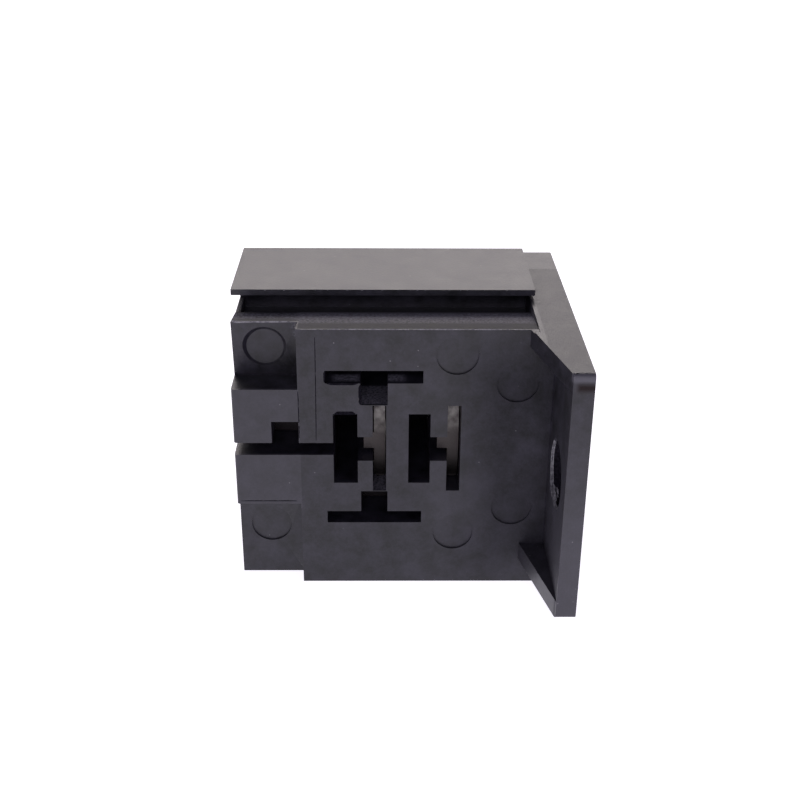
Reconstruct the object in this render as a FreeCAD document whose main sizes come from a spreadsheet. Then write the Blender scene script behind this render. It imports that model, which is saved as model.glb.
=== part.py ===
import FreeCAD, Part
import os

import Sketcher

# A five-way automotive relay socket: one black nylon moulding with a drilled
# mounting flange, and five tinned blade receptacles in T-shaped chambers.
# Lengths are millimetres. While it is built, X runs to the right along the
# wire face, Y runs back from the wire face to the relay face and Z is up,
# from the lower left corner of the wire face. The finished part stands with
# the middle of its footprint at the origin.

SIZES = {
    # moulded block
    "block_width": 33.4,
    "block_depth": 23.35,
    "block_height": 30.7,
    "left_side": -0.1,
    "corner_round": 0.3,
    # rib whose top curves down to a groove, and the top plate that overhangs the groove
    "rib_drop": 0.15,
    "rib_middle": 3.7,
    "rib_middle_deep": 0.66,
    "rib_back": 7.4,
    "rib_back_deep": 1.27,
    "groove_back": 12.0,
    "groove_deep": 2.5,
    "groove_left": 0.4,
    "groove_right": 31.45,
    "plate_front": 8.0,
    "plate_from_back": 1.75,
    "plate_rise": 1.07,
    "plate_thick": 0.66,
    "plate_left": 0.6,
    "plate_right": 31.9,
    # notches in the two left corners of the wire face
    "notch_width": 6.8,
    "upper_notch_height": 6.93,
    "upper_notch_top_deep": 2.75,
    "upper_notch_low_deep": 3.7,
    "lower_notch_height": 10.06,
    "lower_notch_deep": 2.1,
    # mounting flange and its two webs
    "flange_thick": 2.1,
    "flange_reach": 11.15,
    "flange_bottom": 3.0,
    "flange_round": 0.45,
    "web_thick": 2.03,
    "web_run": 2.75,
    "hole_radius": 3.45,
    "hole_out": 4.9,
    "hole_height": 13.6,
    "hole_chamfer": 0.25,
    # where the five blades of the relay stand
    "row_below_top": 13.88,
    "coil_pitch": 16.8,
    "coil_across": 14.72,
    "thirty_across": 5.35,
    "resting_across": 15.28,
    "working_across": 23.16,
    # the T-shaped chamber that each receptacle slides into
    "bar_length": 10.2,
    "bar_thick": 1.43,
    "stem_width": 2.85,
    "stem_length": 2.5,
    "chamber_back_wall": 4.35,
    # relief pockets beside the two upright chambers
    "relief_height": 8.25,
    "relief_back_wall": 6.35,
    "left_relief_from": 10.4,
    "left_relief_wide": 2.57,
    "right_relief_from": 18.36,
    "right_relief_wide": 2.3,
    # blade slots in the relay face
    "blade_slot_length": 7.0,
    "blade_slot_thick": 1.3,
    "slot_chamfer": 0.5,
    # sunk witness discs of the mould's ejector pins; the upper left one lies
    # deeper, in the sloping floor of its notch, and has a sloping rim
    "disc_radius": 2.2,
    "disc_sink": 0.2,
    "lower_left_disc_across": 3.3,
    "lower_left_disc_from_bottom": 6.3,
    "upper_left_disc_across": 3.27,
    "upper_left_disc_from_top": 3.63,
    "upper_left_disc_radius": 1.95,
    "upper_left_disc_deep": 3.75,
    "disc_rim_wide": 0.3,
    "disc_rim_deep": 0.45,
    "inner_disc_across": 23.3,
    "inner_disc_from_top": 3.0,
    "inner_disc_from_bottom": 6.5,
    "outer_disc_across": 29.6,
    "outer_disc_from_top": 6.15,
    "outer_disc_from_bottom": 9.65,
    # tinned receptacle, a rolled channel of thin sheet
    "sheet_thick": 0.3,
    "chamber_clearance": 0.12,
    "receptacle_length": 13.0,
    "upright_mouth_gap": 4.0,
    "level_mouth_gap": 0.6,
    "wing_gap": 0.5,
    "wing_round": 0.4,
    "stop_bow": 1.1,
    "entry_chamfer": 0.2,
    "dimple_radius": 0.9,
    "dimple_rise": 0.12,
    "lance_width": 1.9,
    "lance_reach": 1.1,
    "lance_length": 5.5,
}

doc = FreeCAD.newDocument("RelaySocket")
sheet = doc.addObject("Spreadsheet::Sheet", "Sizes")
for row, (alias, value) in enumerate(SIZES.items(), start=1):
    sheet.set("A%d" % row, alias)
    sheet.set("B%d" % row, str(value))
    sheet.setAlias("B%d" % row, alias)
doc.recompute()


def size(alias):
    """The number that the sheet holds under one name."""
    return float(sheet.get(alias))


def cell(text):
    """An expression in which each name of the sheet is a full reference."""
    words = text.replace("(", " ( ").replace(")", " ) ").split()
    return " ".join("Sizes." + word if word in SIZES else word for word in words)


def value_of(text):
    """The present value of such an expression, to start a sketch near its place."""
    result = doc.getObject("Sizes").evalExpression(cell(text))
    return float(getattr(result, "Value", result))


def origin_plane(body, role):
    for feature in body.Origin.OriginFeatures:
        if feature.Role == role:
            return feature
    raise ValueError(role)


def new_sketch(body, name, role, offset=None):
    """A sketch on an origin plane of its body, moved along the plane's normal."""
    sketch = body.newObject("Sketcher::SketchObject", name)
    sketch.AttachmentSupport = [(origin_plane(body, role), "")]
    sketch.MapMode = "FlatFace"
    if offset:
        sketch.setExpression("AttachmentOffset.Base.z", cell(offset))
    return sketch


def outline(body, name, role, points, offset=None):
    """A closed outline, each corner tied to its expressions.

    A corner is (across, up). The line that leaves it is straight, or an arc
    through a middle point if the corner is (across, up, (across, up)).
    """
    sketch = new_sketch(body, name, role, offset)
    corners = [FreeCAD.Vector(value_of(corner[0]), value_of(corner[1]), 0) for corner in points]
    count = len(corners)
    for index, corner in enumerate(points):
        start, end = corners[index], corners[(index + 1) % count]
        if len(corner) == 3:
            middle = FreeCAD.Vector(value_of(corner[2][0]), value_of(corner[2][1]), 0)
            sketch.addGeometry(Part.Arc(start, middle, end))
        else:
            sketch.addGeometry(Part.LineSegment(start, end))
    ends = [sketch_ends(sketch, index, corners[index]) for index in range(count)]
    for index in range(count):
        following = (index + 1) % count
        joint = Sketcher.Constraint("Coincident", index, ends[index][1], following, ends[following][0])
        sketch.addConstraint(joint)
    for index, corner in enumerate(points):
        tie(sketch, index, ends[index][0], corner[0], corner[1])
        if len(corner) == 3:
            middle = FreeCAD.Vector(value_of(corner[2][0]), value_of(corner[2][1]), 0)
            mark = sketch.addGeometry(Part.Point(middle), True)
            tie(sketch, mark, 1, corner[2][0], corner[2][1])
            sketch.addConstraint(Sketcher.Constraint("PointOnObject", mark, 1, index))
    doc.recompute()
    return sketch


def sketch_ends(sketch, index, corner):
    """The numbers of an edge's near and far ends; an arc may run backwards."""
    backwards = not near(sketch.getPoint(index, 1).distanceToPoint(corner), 0)
    return (2, 1) if backwards else (1, 2)


def tie(sketch, index, end, across, up):
    """Ties one point of a sketch to a pair of expressions."""
    for kind, text in (("DistanceX", across), ("DistanceY", up)):
        number = sketch.addConstraint(Sketcher.Constraint(kind, -1, 1, index, end, value_of(text)))
        sketch.setExpression("Constraints[%d]" % number, cell(text))


def rectangle(body, name, role, low, high, offset=None):
    """A rectangle between two corners."""
    corners = [low, (high[0], low[1]), high, (low[0], high[1])]
    return outline(body, name, role, corners, offset)


def circles(body, name, role, centres, radius, offset=None):
    """One circle, or several of the same radius."""
    sketch = new_sketch(body, name, role, offset)
    for index, (across, up) in enumerate(centres):
        place = FreeCAD.Vector(value_of(across), value_of(up), 0)
        sketch.addGeometry(Part.Circle(place, FreeCAD.Vector(0, 0, 1), value_of(radius)))
        rules = (
            (Sketcher.Constraint("Radius", index, value_of(radius)), radius),
            (Sketcher.Constraint("DistanceX", -1, 1, index, 3, place.x), across),
            (Sketcher.Constraint("DistanceY", -1, 1, index, 3, place.y), up),
        )
        for rule, text in rules:
            number = sketch.addConstraint(rule)
            sketch.setExpression("Constraints[%d]" % number, cell(text))
    doc.recompute()
    return sketch


def extrude(kind, body, name, sketch, length, reverse=False):
    """A pad or a pocket of a sketch, tied to an expression for its length."""
    feature = body.newObject("PartDesign::" + kind, name)
    feature.Profile = sketch
    feature.Reversed = reverse
    feature.setExpression("Length", cell(length))
    before = body.Shape.Volume if not body.Shape.isNull() else 0.0
    sketch.Visibility = False
    doc.recompute()
    change = body.Shape.Volume - before
    if (kind == "Pad") != (change > 0):
        raise ValueError("%s changed the volume by %.3f" % (name, change))
    return feature


def edges_where(shape, test):
    """Names of the straight edges whose two ends pass the test."""
    names = []
    for index, edge in enumerate(shape.Edges, start=1):
        if len(edge.Vertexes) == 2 and test(edge.Vertexes[0].Point, edge.Vertexes[1].Point):
            names.append("Edge%d" % index)
    return names


def dress(kind, body, name, base, names, measure, alias):
    """A fillet or a chamfer of named edges."""
    if not names:
        raise ValueError("no edge for " + name)
    feature = body.newObject("PartDesign::" + kind, name)
    feature.Base = (base, names)
    feature.setExpression(measure, cell(alias))
    doc.recompute()
    return feature


def near(first, second):
    return abs(first - second) < 1e-4


# The height of the row of contacts, measured down from the top of the block,
# and how deep the chambers are.
ROW = "( block_height - row_below_top )"
CHAMBER_DEEP = "( block_depth - chamber_back_wall )"

# Where each receptacle stands on the wire face, and on which side of its
# T's bar the stem lies.
SEATS = {
    "85": ("coil_across", ROW + " + coil_pitch / 2", "below"),
    "86": ("coil_across", ROW + " - coil_pitch / 2", "above"),
    "30": ("thirty_across", ROW, "above"),
    "87a": ("resting_across", ROW, "left"),
    "87": ("working_across", ROW, "left"),
}

FRAME_X = "( block_width + flange_thick - plate_left ) / 2"
FRAME_Y = "( block_depth - flange_reach ) / 2"


def turned(seat, along, down):
    """A point of the T, along its bar and towards its stem, on the wire face."""
    across, up, stem_side = SEATS[seat]
    if stem_side == "below":
        return ("%s + ( %s )" % (across, along), "%s - ( %s )" % (up, down))
    if stem_side == "above":
        return ("%s - ( %s )" % (across, along), "%s + ( %s )" % (up, down))
    return ("%s - ( %s )" % (across, down), "%s + ( %s )" % (up, along))


def housing():
    """The whole black moulding."""
    body = doc.addObject("PartDesign::Body", "Housing")
    body.Label = "housing"

    # block and flange
    front = rectangle(body, "BlockFront", "XZ_Plane", ("left_side", "0"), ("block_width", "block_height"))
    extrude("Pad", body, "Block", front, "block_depth", reverse=True)
    side = rectangle(body, "FlangeSide", "YZ_Plane", ("0 - flange_reach", "flange_bottom"),
                     ("block_depth", "block_height"), "block_width")
    extrude("Pad", body, "Flange", side, "flange_thick")
    web = [("block_width", "0 - flange_reach"), ("block_width", "0"), ("block_width - web_run", "0")]
    low = outline(body, "LowerWebPlan", "XY_Plane", web, "flange_bottom")
    extrude("Pad", body, "LowerWeb", low, "web_thick")
    high = outline(body, "UpperWebPlan", "XY_Plane", web, "block_height - web_thick")
    extrude("Pad", body, "UpperWeb", high, "web_thick")

    # rib, groove and the plate that overhangs it
    rib = outline(body, "RibSide", "YZ_Plane", [
        ("-1", "block_height - rib_drop"),
        ("0", "block_height - rib_drop", ("rib_middle", "block_height - rib_middle_deep")),
        ("rib_back", "block_height - rib_back_deep"),
        ("groove_back", "block_height - rib_back_deep"),
        ("groove_back", "block_height"),
        ("-1", "block_height"),
    ], "left_side")
    extrude("Pocket", body, "RibTop", rib, "groove_right - left_side", reverse=True)
    groove = rectangle(body, "GrooveSide", "YZ_Plane", ("rib_back", "block_height - groove_deep"),
                       ("groove_back", "block_height - rib_back_deep"), "groove_left")
    extrude("Pocket", body, "Groove", groove, "groove_right - groove_left", reverse=True)
    plate = outline(body, "PlateSide", "YZ_Plane", [
        ("groove_back", "block_height"),
        ("block_depth - plate_from_back", "block_height"),
        ("block_depth - plate_from_back", "block_height + plate_rise"),
        ("plate_front", "block_height + plate_rise"),
        ("plate_front", "block_height + plate_rise - plate_thick"),
        ("groove_back", "block_height + plate_rise - plate_thick"),
    ], "0 - plate_left")
    extrude("Pad", body, "TopPlate", plate, "plate_left + plate_right")

    # corner notches of the wire face; the floor of the upper one slopes
    upper = outline(body, "UpperNotchSide", "YZ_Plane", [
        ("-1", "block_height - upper_notch_height"),
        ("upper_notch_low_deep", "block_height - upper_notch_height"),
        ("upper_notch_top_deep", "block_height"),
        ("-1", "block_height"),
    ], "left_side")
    extrude("Pocket", body, "UpperNotch", upper, "notch_width - left_side", reverse=True)
    lower = rectangle(body, "LowerNotchFront", "XZ_Plane", ("left_side", "0"),
                      ("notch_width", "lower_notch_height"))
    extrude("Pocket", body, "LowerNotch", lower, "lower_notch_deep")

    # round off the flange tip and the outer corners before the openings are cut
    reach = -size("flange_reach")
    names = edges_where(body.Shape, lambda a, b: near(a.y, reach) and near(b.y, reach) and near(a.z, b.z))
    dress("Fillet", body, "FlangeTip", body.Tip, names, "Radius", "flange_round")
    left = size("left_side")
    left_edges = edges_where(body.Shape, lambda a, b: near(a.x, left) and near(b.x, left)
                             and near(a.y, b.y) and (near(a.y, 0) or near(a.y, size("block_depth"))))
    dress("Fillet", body, "LeftCorners", body.Tip, left_edges, "Radius", "corner_round")

    # chambers for the receptacles, and the slots that the relay's blades enter
    half = "bar_length / 2"
    thin = "bar_thick / 2"
    stem = "stem_width / 2"
    foot = "bar_thick / 2 + stem_length"
    for seat in SEATS:
        corners = [("0 - " + half, "0 - " + thin), (half, "0 - " + thin), (half, thin), (stem, thin),
                   (stem, foot), ("0 - " + stem, foot), ("0 - " + stem, thin), ("0 - " + half, thin)]
        points = [turned(seat, along, down) for along, down in corners]
        sketch = outline(body, "Chamber%sFront" % seat, "XZ_Plane", points)
        extrude("Pocket", body, "Chamber%s" % seat, sketch, CHAMBER_DEEP)
    mouth = rectangle(body, "SideMouthFront", "XZ_Plane", ("left_side", ROW + " - bar_thick / 2"),
                      ("thirty_across", ROW + " + bar_thick / 2"))
    extrude("Pocket", body, "SideMouth", mouth, CHAMBER_DEEP)
    for seat in SEATS:
        along = "blade_slot_length / 2"
        down = "blade_slot_thick / 2"
        corners = [("0 - " + along, "0 - " + down), (along, "0 - " + down), (along, down),
                   ("0 - " + along, down)]
        points = [turned(seat, first, second) for first, second in corners]
        sketch = outline(body, "BladeSlot%sBack" % seat, "XZ_Plane", points, "0 - block_depth")
        extrude("Pocket", body, "BladeSlot%s" % seat, sketch, "chamber_back_wall + 1", reverse=True)
    for side_name in ("left", "right"):
        start = side_name + "_relief_from"
        sketch = rectangle(body, side_name + "ReliefFront", "XZ_Plane",
                           (start, ROW + " - relief_height / 2"),
                           ("%s + %s_relief_wide" % (start, side_name), ROW + " + relief_height / 2"))
        extrude("Pocket", body, side_name + "Relief", sketch, "block_depth - relief_back_wall")

    # lead-ins round the blade slots
    back = size("block_depth")
    inside = size("block_width") - 1
    names = edges_where(body.Shape, lambda a, b: near(a.y, back) and near(b.y, back)
                        and 1 < a.x < inside and 1 < b.x < inside
                        and 1 < a.z < size("block_height") - 1 and 1 < b.z < size("block_height") - 1)
    dress("Chamfer", body, "SlotLeadIn", body.Tip, names, "Size", "slot_chamfer")

    # mounting hole
    hole = circles(body, "HoleSide", "YZ_Plane",
                   [("0 - hole_out", "flange_bottom + hole_height")], "hole_radius", "block_width")
    extrude("Pocket", body, "MountingHole", hole, "flange_thick", reverse=True)
    rims = ["Edge%d" % index for index, edge in enumerate(body.Shape.Edges, start=1)
            if isinstance(edge.Curve, Part.Circle) and near(edge.Curve.Radius, size("hole_radius"))]
    dress("Chamfer", body, "HoleRims", body.Tip, rims, "Size", "hole_chamfer")

    # witness discs
    flat_discs = [(name + "_disc_across", height % name) for name in ("inner", "outer")
                  for height in ("block_height - %s_disc_from_top", "%s_disc_from_bottom")]
    sketch = circles(body, "DiscsFront", "XZ_Plane", flat_discs, "disc_radius")
    extrude("Pocket", body, "Discs", sketch, "disc_sink")
    sketch = circles(body, "LowerLeftDiscFront", "XZ_Plane",
                     [("lower_left_disc_across", "lower_left_disc_from_bottom")], "disc_radius",
                     "0 - lower_notch_deep")
    extrude("Pocket", body, "LowerLeftDisc", sketch, "disc_sink")
    sketch = circles(body, "UpperLeftDiscFront", "XZ_Plane",
                     [("upper_left_disc_across", "block_height - upper_left_disc_from_top")],
                     "upper_left_disc_radius", "0 - upper_left_disc_deep")
    disc = extrude("Pocket", body, "UpperLeftDisc", sketch, "2 * disc_rim_deep", reverse=True)
    disc.setExpression("TaperAngle", "atan(Sizes.disc_rim_wide / Sizes.disc_rim_deep)")
    doc.recompute()

    body.setExpression("Placement.Base.x", cell("0 - " + FRAME_X))
    body.setExpression("Placement.Base.y", cell("0 - " + FRAME_Y))
    doc.recompute()
    return body


def receptacle(seat):
    """One rolled receptacle with its bowed end stop, its dimple and its locking lance."""
    body = doc.addObject("PartDesign::Body", "Terminal" + seat)
    body.Label = "terminal_" + seat
    across, up, stem_side = SEATS[seat]
    angle = {"below": 0, "above": 180, "left": 90}[stem_side]
    mouth_gap = "upright_mouth_gap" if stem_side == "left" else "level_mouth_gap"
    setback = "( %s - %s - receptacle_length )" % (CHAMBER_DEEP, mouth_gap)
    wide = "( bar_length / 2 - chamber_clearance )"
    high = "( bar_thick / 2 - chamber_clearance )"
    gap = "wing_gap / 2"

    # channel whose two wings turn in over the base, with a gap between them
    right_half = [(wide, "0 - " + high), (wide, high), (gap, high), (gap, high + " - sheet_thick"),
                  (wide + " - sheet_thick", high + " - sheet_thick"),
                  (wide + " - sheet_thick", "sheet_thick - " + high)]
    left_half = [("0 - ( %s )" % first, second) for first, second in reversed(right_half)]
    section = outline(body, "Section", "XZ_Plane", right_half + left_half, "0 - %s - stop_bow" % setback)
    extrude("Pad", body, "Channel", section, "receptacle_length - stop_bow", reverse=True)
    outer = value_of(wide)
    rolled = edges_where(body.Shape, lambda a, b: near(a.x, b.x) and near(abs(a.x), outer)
                         and near(a.z, b.z) and not near(a.y, b.y))
    dress("Fillet", body, "RolledEdges", body.Tip, rolled, "Radius", "wing_round")

    # lead-in of the mouth that the relay's blade enters
    mouth = value_of(setback) + size("receptacle_length")
    inner = value_of(high) - size("sheet_thick")
    lips = edges_where(body.Shape, lambda a, b: near(a.y, mouth) and near(b.y, mouth)
                       and near(abs(a.z), inner) and near(a.z, b.z))
    dress("Chamfer", body, "Mouth", body.Tip, lips, "Size", "entry_chamfer")

    # bowed end stop that faces the wires
    reach = "( bar_length / 2 - chamber_clearance - wing_round / 2 )"
    stop = outline(body, "StopPlan", "XY_Plane", [
        ("0 - " + reach, setback + " + stop_bow", ("0", setback)),
        (reach, setback + " + stop_bow"),
        (reach, setback + " + stop_bow + sheet_thick", ("0", setback + " + sheet_thick")),
        ("0 - " + reach, setback + " + stop_bow + sheet_thick"),
    ], "0 - " + high)
    extrude("Pad", body, "EndStop", stop, "2 * " + high)

    # lance that snaps out into the stem of the T, its shoulder next to the end stop
    lance = outline(body, "LanceSide", "YZ_Plane", [
        (setback, "0 - " + high),
        (setback, "0 - " + high + " - lance_reach"),
        (setback + " + sheet_thick", "0 - " + high + " - lance_reach"),
        (setback + " + lance_length", "0 - " + high),
        (setback + " + lance_length", "sheet_thick - " + high),
        (setback, "sheet_thick - " + high),
    ], "0 - lance_width / 2")
    extrude("Pad", body, "Lance", lance, "lance_width")

    # dimple in the base that presses on the blade
    dimple = circles(body, "DimplePlan", "XY_Plane", [("0", setback + " + receptacle_length * 3 / 4")],
                     "dimple_radius", "sheet_thick - " + high)
    extrude("Pad", body, "Dimple", dimple, "dimple_rise")

    body.Placement = FreeCAD.Placement(FreeCAD.Vector(), FreeCAD.Rotation(FreeCAD.Vector(0, 1, 0), angle))
    body.setExpression("Placement.Base.x", cell("%s - %s" % (across, FRAME_X)))
    body.setExpression("Placement.Base.y", cell("0 - " + FRAME_Y))
    body.setExpression("Placement.Base.z", cell(up))
    doc.recompute()
    return body


pieces = [housing()] + [receptacle(seat) for seat in SEATS]

doc.recompute()
for item in doc.Objects:
    if "Invalid" in item.State or "Error" in item.State:
        raise ValueError("%s failed: %s" % (item.Name, item.State))
for piece in pieces:
    shape = piece.Shape
    if shape.isNull() or not shape.isValid() or len(shape.Solids) != 1:
        raise ValueError("%s is not one valid solid" % piece.Label)

os.makedirs("parts", exist_ok=True)
for piece in pieces:
    piece.Shape.exportStep(os.path.join("parts", piece.Label + ".step"))
    box = piece.Shape.BoundBox
    print("%-14s %8.1f mm3  x %.2f..%.2f  y %.2f..%.2f  z %.2f..%.2f" % (
        piece.Label, piece.Shape.Volume, box.XMin, box.XMax, box.YMin, box.YMax, box.ZMin, box.ZMax))
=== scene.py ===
import math

import bmesh
import bpy
from mathutils import Matrix, Vector, noise


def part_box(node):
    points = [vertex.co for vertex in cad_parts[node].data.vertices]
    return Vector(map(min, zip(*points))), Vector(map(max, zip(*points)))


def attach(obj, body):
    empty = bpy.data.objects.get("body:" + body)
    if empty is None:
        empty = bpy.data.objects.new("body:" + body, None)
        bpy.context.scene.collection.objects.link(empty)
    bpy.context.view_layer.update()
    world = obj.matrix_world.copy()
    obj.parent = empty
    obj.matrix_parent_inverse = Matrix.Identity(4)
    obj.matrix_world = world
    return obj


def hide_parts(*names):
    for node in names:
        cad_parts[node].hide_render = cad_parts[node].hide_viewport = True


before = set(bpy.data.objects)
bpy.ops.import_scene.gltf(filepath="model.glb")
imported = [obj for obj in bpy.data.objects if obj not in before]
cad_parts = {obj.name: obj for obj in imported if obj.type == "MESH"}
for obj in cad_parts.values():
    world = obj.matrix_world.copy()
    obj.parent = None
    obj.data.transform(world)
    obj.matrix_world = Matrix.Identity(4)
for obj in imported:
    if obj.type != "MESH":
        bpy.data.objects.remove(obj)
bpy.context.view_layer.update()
mm = 0.001
print("frame loaded:", ", ".join(sorted(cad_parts)))

# Lower left corner of the wire face: the top plate reaches 0.6 mm past it on the left,
# and the flange 11.15 mm in front of it
faceCorner = Vector(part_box("housing")[0]) + Vector((0.6, 11.15, 0.0)) * mm


def onFace(x, y, z):
    # a place in mm to the right of, behind and above the wire face's lower left corner
    return faceCorner + Vector((x, y, z)) * mm


# Colours and nodes

def hexColour(text):
    # sRGB hex to linear, with full alpha
    channels = [int(text[i:i + 2], 16) / 255 for i in (1, 3, 5)]
    return [c / 12.92 if c <= 0.04045 else ((c + 0.055) / 1.055) ** 2.4 for c in channels] + [1.0]


def addNode(tree, kind, settings=None, inputs=None):
    # one node with its settings; an input is a value or another node's output
    node = tree.nodes.new(kind)
    for name, value in (settings or {}).items():
        setattr(node, name, value)
    for name, value in (inputs or {}).items():
        if isinstance(value, bpy.types.NodeSocket):
            tree.links.new(value, node.inputs[name])
        else:
            node.inputs[name].default_value = value
    return node


def calculate(tree, operation, *values):
    return addNode(tree, "ShaderNodeMath", {"operation": operation},
                   dict(enumerate(values))).outputs[0]


def calculateVector(tree, operation, *values):
    return addNode(tree, "ShaderNodeVectorMath", {"operation": operation},
                   dict(enumerate(values))).outputs[0]


def remap(tree, value, source, target=(0.0, 1.0)):
    # a value stretched from one range to another, and held at the ends
    ranges = dict(zip(("From Min", "From Max", "To Min", "To Max"), source + target))
    return addNode(tree, "ShaderNodeMapRange", None, {"Value": value, **ranges}).outputs["Result"]


def addNoise(tree, place, size, detail, roughness=0.5):
    pattern = addNode(tree, "ShaderNodeTexNoise", None, {
        "Vector": place, "Scale": 1 / size, "Detail": detail, "Roughness": roughness})
    return pattern.outputs["Fac"]


def mixColours(tree, share, first, second):
    # each colour is a hex text or another node's output
    first, second = (hexColour(c) if isinstance(c, str) else c for c in (first, second))
    return addNode(tree, "ShaderNodeMix", {"data_type": "RGBA"}, {
        "Factor": share, 6: first, 7: second}).outputs[2]


def addBump(tree, height, distance, strength):
    return addNode(tree, "ShaderNodeBump", None, {
        "Height": height, "Distance": distance, "Strength": strength}).outputs["Normal"]


def addPlace(tree):
    # where a point lies on its object, in metres
    return addNode(tree, "ShaderNodeTexCoord").outputs["Object"]


def newMaterial(name):
    material = bpy.data.materials.new(name)
    material.use_nodes = True
    material.node_tree.nodes.clear()
    return material, material.node_tree


def addSurface(tree, inputs):
    # ends a tree with the shader that takes these inputs
    shader = addNode(tree, "ShaderNodeBsdfPrincipled", None, inputs)
    addNode(tree, "ShaderNodeOutputMaterial", None, {"Surface": shader.outputs["BSDF"]})


# Injection moulded PA66, black: a satin skin that mirrors softly, so most of what the eye sees is
# reflected studio light; under it slow flow clouds, a fine spark-eroded grain and a few pale
# specks of dust. Some zones also carry painted light and painted shade

nylon = {
    "colour": "#08070e",
    "cloudColour": "#282630",
    "cloudSize": 2.2 * mm,
    "cloudDetail": (5.0, 0.72),
    "cloudRange": (0.34, 0.66),      # noise values between which the skin turns cloudy
    "ior": 1.47,
    "gloss": 0.5,
    "roughness": (0.36, 0.43),
    "roughRange": (0.3, 0.7),        # noise values between which the roughness changes
    "grainSize": 0.25 * mm,          # drawn twice as coarse as the real grain, to show
    "grainDetail": 2.0,
    "grainHeight": 0.02 * mm,
    "grainStrength": 0.7,
    "speckColour": "#8d8b90",
    "speckSpacing": 1.9 * mm,
    "speckShare": 0.05,
    "speckCover": 0.6,
    # zones of the skin that differ: two corners in mm on the wire face, how softly each zone ends
    # in mm, and how much of its colour it gets. Pale ones are finer or rubbed skin; three of them
    # are painted light instead
    "paleColour": "#4a4851",
    "paleZones": [
        ((-0.3, -0.3, 9.6), (6.85, 0.3, 23.9), 0.1, 0.22),        # painted light: insert left of its witness line, lighter away from the flange's shade
        ((33.3, -11.4, 3.0), (35.6, -10.9, 11.0), 15.0, 0.50),    # painted light: flange's front edge, lower part, lit from the bright floor
        ((33.3, -11.4, 30.05), (35.6, -10.9, 30.8), 0.35, 0.85),  # flange's front edge just below its upper end
        ((22.0, -0.3, 8.6), (25.0, 0.3, 12.5), 3.0, 0.15),        # rubbed at the lower right
        ((7.0, 4.6, 29.0), (31.2, 7.2, 30.1), 0.8, 0.70),         # painted light at the back of the rib, in the top plate's shade
    ],
    # fine scuffs that leave specks of bare skin; on the rib's back half and the chamber floors the
    # specks are also painted light, lifting their shade
    "scuffColour": "#7e7c8a",
    "scuffAndLightRange": (0.33, 0.67),      # grain values between which these zones take their colour
    "scuffZones": [
        ((7.0, 3.0, 29.0), (31.2, 6.4, 29.95), 1.0, 0.6),         # along the rib's top, also painted light under the top plate's shade
        ((0.1, 4.6, 29.0), (6.0, 6.4, 29.9), 0.9, 0.6),           # and across the notch
        ((10.7, 0.9, 24.3), (12.9, 1.9, 24.6), 0.5, 0.9),         # painted light inside the upper coil chamber
        ((16.3, 0.9, 24.3), (17.7, 1.9, 24.6), 0.5, 0.9),
        ((13.3, 0.45, 21.7), (16.2, 4.5, 22.2), 0.35, 0.85),      # painted light on the floor of its stem
        ((14.0, 0.4, 11.75), (17.0, 3.5, 12.2), 0.3, 0.8),        # painted light on the floor of the middle chamber
    ],
    # a brownish scuff across the flange's front edge
    "stainColour": "#1e1413",
    "stainZones": [((34.1, -11.4, 29.2), (35.6, -10.9, 29.4), 0.6, 0.9)],
    # more matt parts: the last value is how much gloss they lose
    "mattZones": [
        ((28.0, -0.3, 4.0), (33.3, 0.3, 24.5), 6.0, 0.15),        # painted shade: corner beside the flange, less glossy where the flange shades it
        ((33.3, -10.9, 3.0), (33.5, 0.0, 30.45), 0.1, 0.12),      # flange's inner face
        ((7.0, 0.25, 30.08), (31.4, 3.2, 30.6), 0.15, 0.18),      # rib's top, front half
        ((-0.1, 3.35, 29.2), (31.4, 7.4, 30.2), 0.15, 0.18),      # and rear half
        ((31.95, -11.2, 30.5), (35.6, 17.5, 30.8), 0.1, 0.04),    # strip right of the top plate
        ((34.1, -11.4, 29.2), (35.6, -10.9, 29.4), 0.5, 0.26),    # brownish scuff
    ],
    "mattRoughness": 1.4,            # roughness gained for each unit of gloss lost
}


def zoneMask(tree, place, low, high, softness, share):
    # the full share inside the box, fading to nothing outside it
    low, high = onFace(*low), onFace(*high)
    arm = calculateVector(tree, "SUBTRACT", place, (low + high) / 2)
    reach = calculateVector(tree, "ABSOLUTE", arm)
    over = calculateVector(tree, "SUBTRACT", reach, (high - low) / 2)
    outside = calculateVector(tree, "MAXIMUM", over, (0, 0, 0))
    away = addNode(tree, "ShaderNodeVectorMath", {"operation": "LENGTH"}, {0: outside})
    return remap(tree, away.outputs["Value"], (0.0, softness * mm), (share, 0.0))


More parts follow.
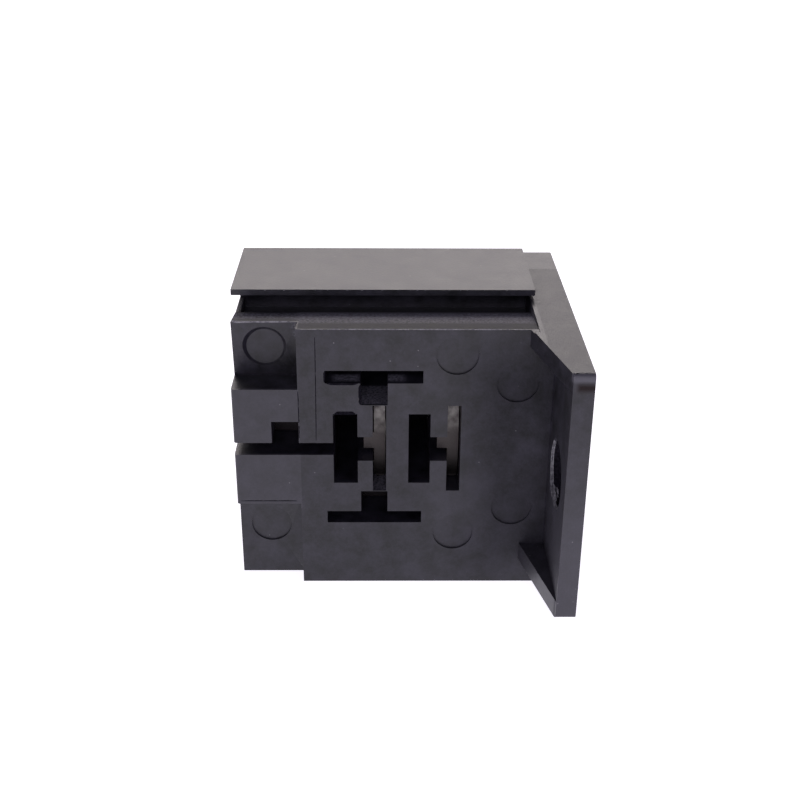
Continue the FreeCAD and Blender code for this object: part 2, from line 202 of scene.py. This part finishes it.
def mouldedNylon(settings):
    material, tree = newMaterial("mouldedNylonBlack")
    place = addPlace(tree)
    clouds = addNoise(tree, place, settings["cloudSize"], *settings["cloudDetail"])
    grain = addNoise(tree, place, settings["grainSize"], settings["grainDetail"])
    specks = addNode(tree, "ShaderNodeTexVoronoi", None, {
        "Vector": place, "Scale": 1 / settings["speckSpacing"]}).outputs["Distance"]
    cloudy = remap(tree, clouds, settings["cloudRange"])
    scuffAndLightSpecks = remap(tree, grain, settings["scuffAndLightRange"])
    dusty = remap(tree, specks, (settings["speckShare"], 0.0), (0.0, settings["speckCover"]))
    colour = mixColours(tree, cloudy, settings["colour"], settings["cloudColour"])
    # pale and scuff zones include painted light where more light falls; stains are the skin's own
    for kind, cover in (("pale", 1.0), ("scuff", scuffAndLightSpecks), ("stain", 1.0)):
        for zone in settings[kind + "Zones"]:
            share = calculate(tree, "MULTIPLY", zoneMask(tree, place, *zone), cover)
            colour = mixColours(tree, share, colour, settings[kind + "Colour"])
    matt = 0.0
    for zone in settings["mattZones"]:
        matt = calculate(tree, "ADD", matt, zoneMask(tree, place, *zone))
    rough = remap(tree, clouds, settings["roughRange"], settings["roughness"])
    addSurface(tree, {
        "Base Color": mixColours(tree, dusty, colour, settings["speckColour"]),
        "Roughness": calculate(tree, "MULTIPLY_ADD", matt, settings["mattRoughness"], rough),
        "IOR": settings["ior"],
        "Specular IOR Level": calculate(tree, "SUBTRACT", settings["gloss"], matt),
        "Normal": addBump(tree, grain, settings["grainHeight"], settings["grainStrength"])})
    return material


# Tinned brass strip, rolled and formed: dull silver, a little blotchy, with faint drawing lines
# along its length. It is bright near the top and painted darker as painted shade: lower down in
# the upright receptacles, where their chambers shade them, and all over the level ones

tin = {
    "name": "tinnedBrassStrip",
    "colour": "#b5b2ac",
    "dullColour": "#605c5a",
    "blotchSize": 0.8 * mm,
    "blotchDetail": 4.0,
    "blotchRange": (0.33, 0.67),
    "paintedShadeColour": "#4b4746",
    "paintedShadeHeights": (21.4 * mm, 17.6 * mm),    # heights above the floor where the painted shade begins and is full
    "roughness": (0.46, 0.62),
    "lineSpacing": 0.12 * mm,
    "lineScale": (1.0, 0.08, 1.0),        # drawn out along the strip
    "lineDetail": 3.0,
    "lineDepth": 0.01 * mm,
    "lineStrength": 0.5,
}
# a shaded copy of the same tin, painted dark all over as painted shade, for the level receptacles
shadedTin = dict(tin, name="shadedBrassStrip", paintedShadeColour="#343032",
                    paintedShadeHeights=(40 * mm, 34 * mm))


def tinnedBrass(settings):
    material, tree = newMaterial(settings["name"])
    place = addPlace(tree)
    stretched = addNode(tree, "ShaderNodeMapping", None, {
        "Vector": place, "Scale": settings["lineScale"]}).outputs["Vector"]
    lines = addNoise(tree, stretched, settings["lineSpacing"], settings["lineDetail"])
    blotches = addNoise(tree, place, settings["blotchSize"], settings["blotchDetail"])
    height = addNode(tree, "ShaderNodeSeparateXYZ", None, {"Vector": place}).outputs["Z"]
    dulled = remap(tree, blotches, settings["blotchRange"])
    # painted shade: darker lower down
    paintedShadeShare = remap(tree, height, settings["paintedShadeHeights"])
    colour = mixColours(tree, dulled, settings["colour"], settings["dullColour"])
    addSurface(tree, {
        "Base Color": mixColours(tree, paintedShadeShare, colour, settings["paintedShadeColour"]),
        "Metallic": 1.0,
        "Roughness": remap(tree, lines, (0.0, 1.0), settings["roughness"]),
        "Normal": addBump(tree, lines, settings["lineDepth"], settings["lineStrength"])})
    return material


# The same nylon where it is pulled thin or rubbed: flash and burrs turn pale grey with fine
# crazing, and torn or seamed lines stay matt and darker than the skin round them. The pale one is
# also a painted highlight on the flange hole's chamfer and the rib's front edge, and the dark one,
# near black with hardly any gloss, is painted shade at the cavity mouths and in the flange's hole

paleNylon = {
    "name": "stressWhitenedAndLitNylon",
    "colour": "#45434b",
    "otherColour": "#807e84",
    "colourRange": (0.35, 0.7),
    "roughness": 0.6,
    "ior": 1.53,
    "grainSize": 0.3 * mm,
    "grainDetail": 3.0,
    "grainHeight": 0.03 * mm,
    "grainStrength": 0.6,
}
darkNylon = dict(paleNylon, name="seamAndShadeNylon", colour="#08070c", otherColour="#1a1820",
                 roughness=0.9, ior=1.12, grainSize=0.25 * mm)


def markedNylon(settings):
    material, tree = newMaterial(settings["name"])
    grain = addNoise(tree, addPlace(tree), settings["grainSize"], settings["grainDetail"])
    crazed = remap(tree, grain, settings["colourRange"])
    addSurface(tree, {
        "Base Color": mixColours(tree, crazed, settings["colour"], settings["otherColour"]),
        "Roughness": settings["roughness"],
        "IOR": settings["ior"],
        "Normal": addBump(tree, grain, settings["grainHeight"], settings["grainStrength"])})
    return material


nylonMaterial = mouldedNylon(nylon)
markedMaterials = {"pale": markedNylon(paleNylon), "dark": markedNylon(darkNylon)}
tinMaterial = tinnedBrass(tin)
shadedTinMaterial = tinnedBrass(shadedTin)
nodeMaterials = {"housing": nylonMaterial, "terminal_87": tinMaterial, "terminal_87a": tinMaterial}
# terminals other than 87 and 87a get the shaded copy of the tin, as painted shade
for name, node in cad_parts.items():
    node.data.materials.clear()
    node.data.materials.append(nodeMaterials.get(name, shadedTinMaterial))
print("materials done")


# Housing: the CAD solid with its edges eased as the mould leaves them

moulding = {
    "edgeWidth": 0.12 * mm,
    "edgeSegments": 2,
    "shortEdge": 0.9 * mm,    # shorter edges belong to circles and get a finer rounding
    "shortShare": 0.4,
    "sharpAngle": math.radians(28),
    "flatAngle": math.radians(0.5),
    "mergeDistance": 0.0005 * mm,
}


def easedMesh(node, settings):
    # a copy of the node's mesh with merged faces and rounded edges
    mesh = node.data.copy()
    form = bmesh.new()
    form.from_mesh(mesh)
    bmesh.ops.remove_doubles(form, verts=form.verts, dist=settings["mergeDistance"])
    bmesh.ops.dissolve_limit(form, angle_limit=settings["flatAngle"],
                             verts=form.verts, edges=form.edges)
    weights = form.edges.layers.float.new("bevel_weight_edge")
    for edge in form.edges:
        if len(edge.link_faces) == 2 and edge.calc_face_angle(0) > settings["sharpAngle"]:
            short = edge.calc_length() < settings["shortEdge"]
            edge[weights] = settings["shortShare"] if short else 1.0
    form.to_mesh(mesh)
    form.free()
    draft = bpy.data.objects.new("draft", mesh)
    bpy.context.scene.collection.objects.link(draft)
    easing = draft.modifiers.new("easing", "BEVEL")
    easing.limit_method = "WEIGHT"
    easing.width = settings["edgeWidth"]
    easing.segments = settings["edgeSegments"]
    easing.use_clamp_overlap = True
    easing.harden_normals = True
    for face in mesh.polygons:
        face.use_smooth = True
    mesh.set_sharp_from_angle(angle=settings["sharpAngle"])
    depsgraph = bpy.context.evaluated_depsgraph_get()
    eased = bpy.data.meshes.new_from_object(draft.evaluated_get(depsgraph))
    bpy.data.objects.remove(draft)
    return eased


# The flange's hole in mm: its middle, its size and which faces round it are marked

flangeHole = {
    "x": 33.4,
    "y": -4.9,
    "z": 16.6,
    "radius": 3.45,
    "chamfer": 0.25,
    "crescentUpTo": 2.4,              # height above its middle
    "crescentSlope": (0.2, 0.95),     # least and most that a painted crescent face's normal points left
    "chamferSlack": 0.1,            # how far a face may lie from the chamfer, the rim or
    "rimSlack": 0.4,                # the wall and still belong to it
    "wallSlack": 0.02,
}


def paintHole(mesh, hole, materialIndex):
    # the inner chamfer is pale up to a height, rubbed and also a painted highlight where light
    # falls through the hole, and the hole's wall is matt and painted near-black as painted shade
    centre = onFace(hole["x"], hole["y"], hole["z"])
    inner = (hole["radius"] - hole["chamferSlack"]) * mm
    outer = (hole["radius"] + hole["rimSlack"]) * mm
    deep = (hole["chamfer"] + hole["chamferSlack"]) * mm
    wall = (hole["radius"] + hole["wallSlack"]) * mm
    leastSlope, mostSlope = hole["crescentSlope"]
    for face in mesh.polygons:
        arm = face.center - centre
        reach = math.hypot(arm.y, arm.z)
        onRim = inner < reach < outer and abs(arm.x) < deep
        # painted highlight on the chamfer's lower part; further in, the wall gets painted shade
        litCrescent = onRim and arm.z < hole["crescentUpTo"] * mm
        if litCrescent and leastSlope < -face.normal.x < mostSlope:
            face.material_index = materialIndex["pale"]
        elif reach < wall and abs(face.normal.x) < leastSlope:
            face.material_index = materialIndex["dark"]


def holeArc(x, past, first, last, count=12):
    # points round the flange's hole, angles in degrees from straight behind towards up
    radius = flangeHole["radius"] + past
    turns = [math.radians(first + (last - first) * i / count) for i in range(count + 1)]
    return [(x, flangeHole["y"] + radius * math.cos(a), flangeHole["z"] + radius * math.sin(a))
            for a in turns]


# Flash, witness lines and torn edges of the moulding, as ragged fins. Each follows a path of
# points in mm on the wire face, grows outward by up to its width and stands proud by its lift;
# share is how much of its length shows

fins = [
    # path, outward, proud, width, lift, share, material
    # flash along the rib, across the notch, at its left end, up its step and under the top plate;
    # along the rib's front edge its paleness is also a painted edge highlight
    ([(6.9, 0.0, 30.54), (31.4, 0.0, 30.54)],
     (0, -0.3, 1), (0, -1, 0.4), 0.08, 0.03, 0.6, "pale"),
    ([(0.0, 2.78, 30.12), (6.8, 2.78, 30.2)],
     (0, -0.4, 1), (0, -1, 0.3), 0.17, 0.07, 0.95, "pale"),
    ([(-0.05, 2.9, 30.2), (0.8, 2.8, 30.12)],
     (0, -0.4, 1), (0, -1, 0.3), 0.20, 0.12, 1.0, "pale"),
    ([(6.7, 2.75, 30.0), (6.8, 0.5, 30.45)],
     (-0.4, 0, 1), (-1, 0, 0.2), 0.25, 0.12, 1.0, "pale"),
    ([(-0.4, 8.0, 31.69), (31.7, 8.0, 31.69)],
     (0, -1, 0), (0, 0, -1), 0.06, 0.05, 0.3, "pale"),
    # witness lines of the mould's inserts
    ([(8.75, 0.0, 29.9), (8.7, 0.0, 24.0), (8.62, 0.0, 17.7)],
     (1, 0, 0), (0, -1, 0), 0.035, 0.012, 0.75, "dark"),
    ([(6.85, 0.0, 23.7), (6.85, 0.0, 18.0)],
     (1, 0, 0), (0, -1, 0), 0.05, 0.010, 0.6, "dark"),
    ([(0.2, 0.0, 10.45), (6.6, 0.0, 10.45)],
     (0, 0, 1), (0, -1, 0), 0.04, 0.02, 0.7, "dark"),
    # torn mouth edges, near-black as painted shade spilling from the cavities: the left relief
    # pocket's top, and three of the upper coil chamber
    ([(10.45, 0.0, 20.93), (12.9, 0.0, 20.93)],
     (0, 0, 1), (0, -1, 0), 0.34, 0.010, 0.95, "dark"),
    ([(9.7, 0.0, 24.50), (13.2, 0.0, 24.50)],
     (0, 0, -1), (0, -1, 0), 0.20, 0.010, 0.8, "dark"),
    ([(9.62, 0.0, 24.5), (9.62, 0.0, 25.9)],
     (-1, 0, 0), (0, -1, 0), 0.10, 0.010, 0.9, "dark"),
    ([(13.31, 0.0, 24.45), (13.31, 0.0, 21.95)],
     (-1, 0, 0), (0, -1, 0), 0.20, 0.010, 0.9, "dark"),
    # crack-like seam on the flange's upper front edge
    ([(33.5, -10.95, 30.69), (34.2, -10.60, 30.69), (34.6, -10.72, 30.69), (35.4, -10.60, 30.69)],
     (0, 1, 0), (0, 0, 1), 0.10, 0.012, 1.0, "dark"),
    # burr of the flange's hole: a roll round its rim, and torn shreds inside at the bottom
    (holeArc(33.4, 0.12, -40, 32), (0, 1, 0), (-1, 0, 0), 0.10, 0.05, 1.0, "pale"),
    (holeArc(33.4, 0.12, -75, -30), (0, 0.8, -0.6), (-1, 0, 0), 0.22, 0.12, 0.8, "pale"),
    (holeArc(33.62, 0.0, -46, -88), (1, -0.2, 0), (0, -0.9, 0.5), 0.18, 0.10, 0.8, "pale"),
    (holeArc(33.95, 0.0, -50, -80), (1, -0.2, 0), (0, -0.9, 0.5), 0.14, 0.08, 0.65, "pale"),
]
finLook = {
    "step": 0.12,           # mm between sections
    "root": 0.05,           # mm that a fin starts below the surface
    "raggedness": 2.4,
    "seedSpacing": 7.3,     # keeps the fins' noise apart
    "endGrowth": 6,         # a fin is full from a sixth of its length
    "leastSize": 0.05,
    "tipLift": 0.3,
}


def pathPoints(path, step):
    # evenly spaced points along a path, each with its share of the whole length
    legs = [(Vector(a), Vector(b)) for a, b in zip(path, path[1:])]
    whole = sum((b - a).length for a, b in legs)
    done = 0.0
    for first, last in legs:
        length = (last - first).length
        count = max(2, int(length / step))
        for index in range(count):
            yield first.lerp(last, index / count), (done + length * index / count) / whole
        done += length
    yield legs[-1][1], 1.0


def finRuns(seed, path, outward, proud, width, lift, share, settings):
    # the fin's triangular sections in unbroken runs
    outward, proud = Vector(outward).normalized(), Vector(proud).normalized()
    root, growth = settings["root"], settings["endGrowth"]
    noiseShift = Vector((seed * settings["seedSpacing"], 0.0, seed))
    runs = [[]]
    for middle, along in pathPoints(path, settings["step"]):
        ragged = noise.noise(middle * settings["raggedness"] + noiseShift)
        size = max(0.0, min(1.0, (ragged + 2 * share - 1) / share + 0.5))
        size *= min(1.0, growth * along, growth * (1 - along))
        if size < settings["leastSize"]:
            runs.append([])
            continue
        low = middle - proud * root - outward * root
        high = middle + proud * lift * size - outward * root
        tip = middle + outward * width * size + proud * lift * settings["tipLift"]
        runs[-1].append((low, high, tip))
    return [run for run in runs if len(run) > 1]


def addFins(mesh, settings, materialIndex):
    # each run of sections becomes a closed shape in the moulding's mesh
    form = bmesh.new()
    form.from_mesh(mesh)
    added = []
    for seed, (*shape, look) in enumerate(fins):
        for run in finRuns(seed, *shape, settings):
            rings = [[form.verts.new(onFace(*point)) for point in section] for section in run]
            loops = [rings[0], rings[-1]]
            for one, other in zip(rings, rings[1:]):
                loops += [(one[a], one[b], other[b], other[a]) for a, b in ((0, 1), (1, 2), (2, 0))]
            for loop in loops:
                added.append(form.faces.new(loop))
                added[-1].material_index = materialIndex[look]
    bmesh.ops.recalc_face_normals(form, faces=added)
    form.to_mesh(mesh)
    form.free()


housingMesh = easedMesh(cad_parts["housing"], moulding)
markedIndex = {}
for look, material in markedMaterials.items():
    markedIndex[look] = len(housingMesh.materials)
    housingMesh.materials.append(material)
paintHole(housingMesh, flangeHole, markedIndex)
addFins(housingMesh, finLook, markedIndex)
housingPiece = bpy.data.objects.new("mouldedHousing", housingMesh)
bpy.context.scene.collection.objects.link(housingPiece)
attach(housingPiece, "root")
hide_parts("housing")
print("housing eased:", len(housingMesh.polygons), "faces")


# Opal acrylic sheet, lit from below: a plain white ground with hardly any shadow

stage = {
    "floorSize": 4.0,
    "floorColour": "#efefef",
    "floorRoughness": 0.9,
    "glowColour": "#f8f5ff",
    "floorGlow": 0.90,
}


def makeFloor(settings):
    bpy.ops.mesh.primitive_plane_add(size=settings["floorSize"])
    floor = bpy.context.object
    floor.name = "floor"
    material, tree = newMaterial("opalAcrylicSheet")
    addSurface(tree, {
        "Base Color": hexColour(settings["floorColour"]),
        "Roughness": settings["floorRoughness"],
        "Emission Color": hexColour(settings["glowColour"]),
        "Emission Strength": settings["floorGlow"]})
    floor.data.materials.append(material)


# A white room with a large softbox behind the part and three small ones in front

studio = {
    "roomColour": "#f6f2ff",
    "roomStrength": 0.22,
    "backdropStrength": 1.15,    # how bright the room looks behind the floor's far edge
    # name: place, target, width and height in metres, power and colour
    "lights": {
        "softboxBack": ((-0.12, 0.62, 0.40), (0.0, 0.0, 0.02), 1.0, 0.28, 3.9, "#fff7f6"),
        "softboxFront": ((-0.04, -0.60, 0.33), (0.0, 0.0, 0.02), 0.25, 0.2, 0.9, "#f6f2ff"),
        "softboxRight": ((0.42, -0.50, 0.14), (0.0, 0.0, 0.02), 0.35, 0.2, 0.6, "#f6f2ff"),
        "softboxLeft": ((-0.55, -0.25, 0.40), (0.0, 0.0, 0.02), 0.4, 0.4, 0.25, "#f8f6ff"),
    },
}


def makeWorld(settings):
    world = bpy.data.worlds.new("studioRoom")
    bpy.context.scene.world = world
    world.use_nodes = True
    tree = world.node_tree
    background = tree.nodes["Background"]
    background.inputs["Color"].default_value = hexColour(settings["roomColour"])
    seen = addNode(tree, "ShaderNodeLightPath").outputs["Is Camera Ray"]
    strengths = (settings["roomStrength"], settings["backdropStrength"])
    tree.links.new(remap(tree, seen, (0.0, 1.0), strengths), background.inputs["Strength"])


def addSoftbox(name, place, target, width, height, power, colour):
    data = bpy.data.lights.new(name, "AREA")
    data.shape = "RECTANGLE"
    data.size = width
    data.size_y = height
    data.energy = power
    data.color = hexColour(colour)[:3]
    lamp = bpy.data.objects.new(name, data)
    lamp.location = place
    lamp.rotation_euler = (Vector(target) - Vector(place)).to_track_quat("-Z", "Y").to_euler()
    bpy.context.scene.collection.objects.link(lamp)


# The photograph's camera, fitted to its edges: place in mm from the part's origin, angles in
# degrees

view = {
    "place": (-1.642, -117.548, 77.299),
    "pitch": 26.135,
    "yaw": 0.831,
    "roll": 0.423,
    "focalPixels": 1194.6,
    "imagePixels": 800,
    "sensorWidth": 36,
    "clipStart": 5,
}


def makeCamera(settings):
    pitch, yaw, roll = (math.radians(settings[k]) for k in ("pitch", "yaw", "roll"))
    level = Vector((math.cos(yaw), -math.sin(yaw), 0))
    forward = Vector((math.sin(yaw) * math.cos(pitch), math.cos(yaw) * math.cos(pitch),
                      -math.sin(pitch)))
    upright = level.cross(forward)
    right = level * math.cos(roll) + upright * math.sin(roll)
    up = upright * math.cos(roll) - level * math.sin(roll)
    data = bpy.data.cameras.new("camera")
    data.sensor_width = settings["sensorWidth"]
    data.lens = data.sensor_width * settings["focalPixels"] / settings["imagePixels"]
    data.clip_start = settings["clipStart"] * mm
    camera = bpy.data.objects.new("camera", data)
    turn = Matrix((right, up, -forward)).transposed().to_4x4()
    camera.matrix_world = Matrix.Translation(Vector(settings["place"]) * mm) @ turn
    bpy.context.scene.collection.objects.link(camera)
    bpy.context.scene.camera = camera


makeFloor(stage)
makeWorld(studio)
for name, values in studio["lights"].items():
    addSoftbox(name, *values)
makeCamera(view)
bpy.context.scene.view_settings.view_transform = "Standard"
print("stage done")
